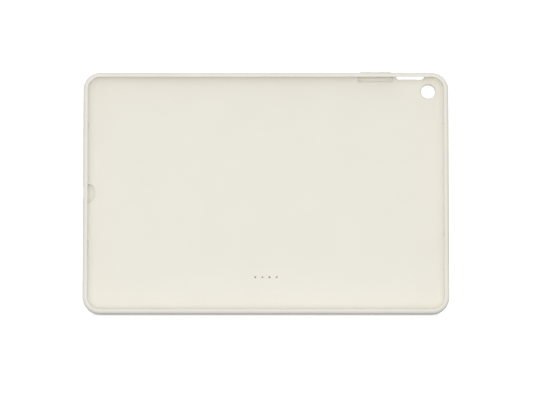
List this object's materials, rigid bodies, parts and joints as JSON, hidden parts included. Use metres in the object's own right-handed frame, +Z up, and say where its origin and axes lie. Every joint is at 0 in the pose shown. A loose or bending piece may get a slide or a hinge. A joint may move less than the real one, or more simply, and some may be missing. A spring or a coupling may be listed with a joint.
{
  "type": "tablet tray case with ring stand",
  "caption": "Soft moulded tray case for a tablet, with a pocket, side openings, sprung floor contacts and a hinged ring stand on its back.",
  "frame": {"origin": "middle of the box round the standing case and its open ring, at its base", "axes": "+X across the case towards the camera hole, +Y behind the case, where the ring stands, +Z up"},
  "size_m": [0.2646, 0.1024, 0.1672],
  "materials": {
    "soft_skin": "matt cream silicone",
    "stiff_core": "matt moulded polycarbonate",
    "lining": "soft-touch moulding, fine cream grain",
    "bezel": "satin moulded plastic",
    "panel": "matt moulded plastic",
    "ring_metal": "satin anodised",
    "spring_steel": "rolled",
    "plate_steel": "pressed sheet",
    "screw_steel": "plated",
    "contact_moulding": "matt black",
    "board": "circuit board",
    "contact_metal": "dull nickel flash on brass"
  },
  "bodies": {
    "case": {"camera_bezel": "bezel", "contact_barrels": "contact_metal", "contact_block": "contact_moulding", "contact_board": "board", "contact_pads": "contact_metal", "contact_spring_1": "spring_steel", "contact_spring_2": "spring_steel", "contact_spring_3": "spring_steel", "contact_spring_4": "spring_steel", "core_tray": "stiff_core", "dock_panel": "panel", "friction_clip_left": "spring_steel", "friction_clip_right": "spring_steel", "hinge_plate": "plate_steel", "hinge_screws": "screw_steel", "outer_skin": "soft_skin", "pocket_liner": "lining"},
    "ring": {"stand_ring": "ring_metal"},
    "volume_key": {"volume_key_pad": "soft_skin"},
    "pin_1": {"contact_pin_1": "contact_metal"},
    "pin_2": {"contact_pin_2": "contact_metal"},
    "pin_3": {"contact_pin_3": "contact_metal"},
    "pin_4": {"contact_pin_4": "contact_metal"}
  },
  "joints": [
    {"name": "ring_hinge", "type": "hinge", "parent": "case", "child": "ring", "pos_m": [0, -0.03657, 0.00863], "axis": [-1, 0, 0], "range_deg": [-74.82, 30.18]},
    {"name": "volume_key_rock", "type": "hinge", "parent": "case", "child": "volume_key", "pos_m": [0.0796, 0.01239, 0.16435], "axis": [0, -0.9397, 0.342], "range_deg": [-1.5, 1.5], "stiffness_Nm_per_rad": 0.66},
    {"name": "contact_1_press", "type": "slide", "parent": "case", "child": "pin_1", "axis": [0, -0.9397, 0.342], "range_m": [-0.0005, 0], "stiffness_N_per_m": 600, "springref_m": 0.0004, "deforming": ["contact_spring_1"]},
    {"name": "contact_2_press", "type": "slide", "parent": "case", "child": "pin_2", "axis": [0, -0.9397, 0.342], "range_m": [-0.0005, 0], "stiffness_N_per_m": 600, "springref_m": 0.0004, "deforming": ["contact_spring_2"]},
    {"name": "contact_3_press", "type": "slide", "parent": "case", "child": "pin_3", "axis": [0, -0.9397, 0.342], "range_m": [-0.0005, 0], "stiffness_N_per_m": 600, "springref_m": 0.0004, "deforming": ["contact_spring_3"]},
    {"name": "contact_4_press", "type": "slide", "parent": "case", "child": "pin_4", "axis": [0, -0.9397, 0.342], "range_m": [-0.0005, 0], "stiffness_N_per_m": 600, "springref_m": 0.0004, "deforming": ["contact_spring_4"]}
  ]
}
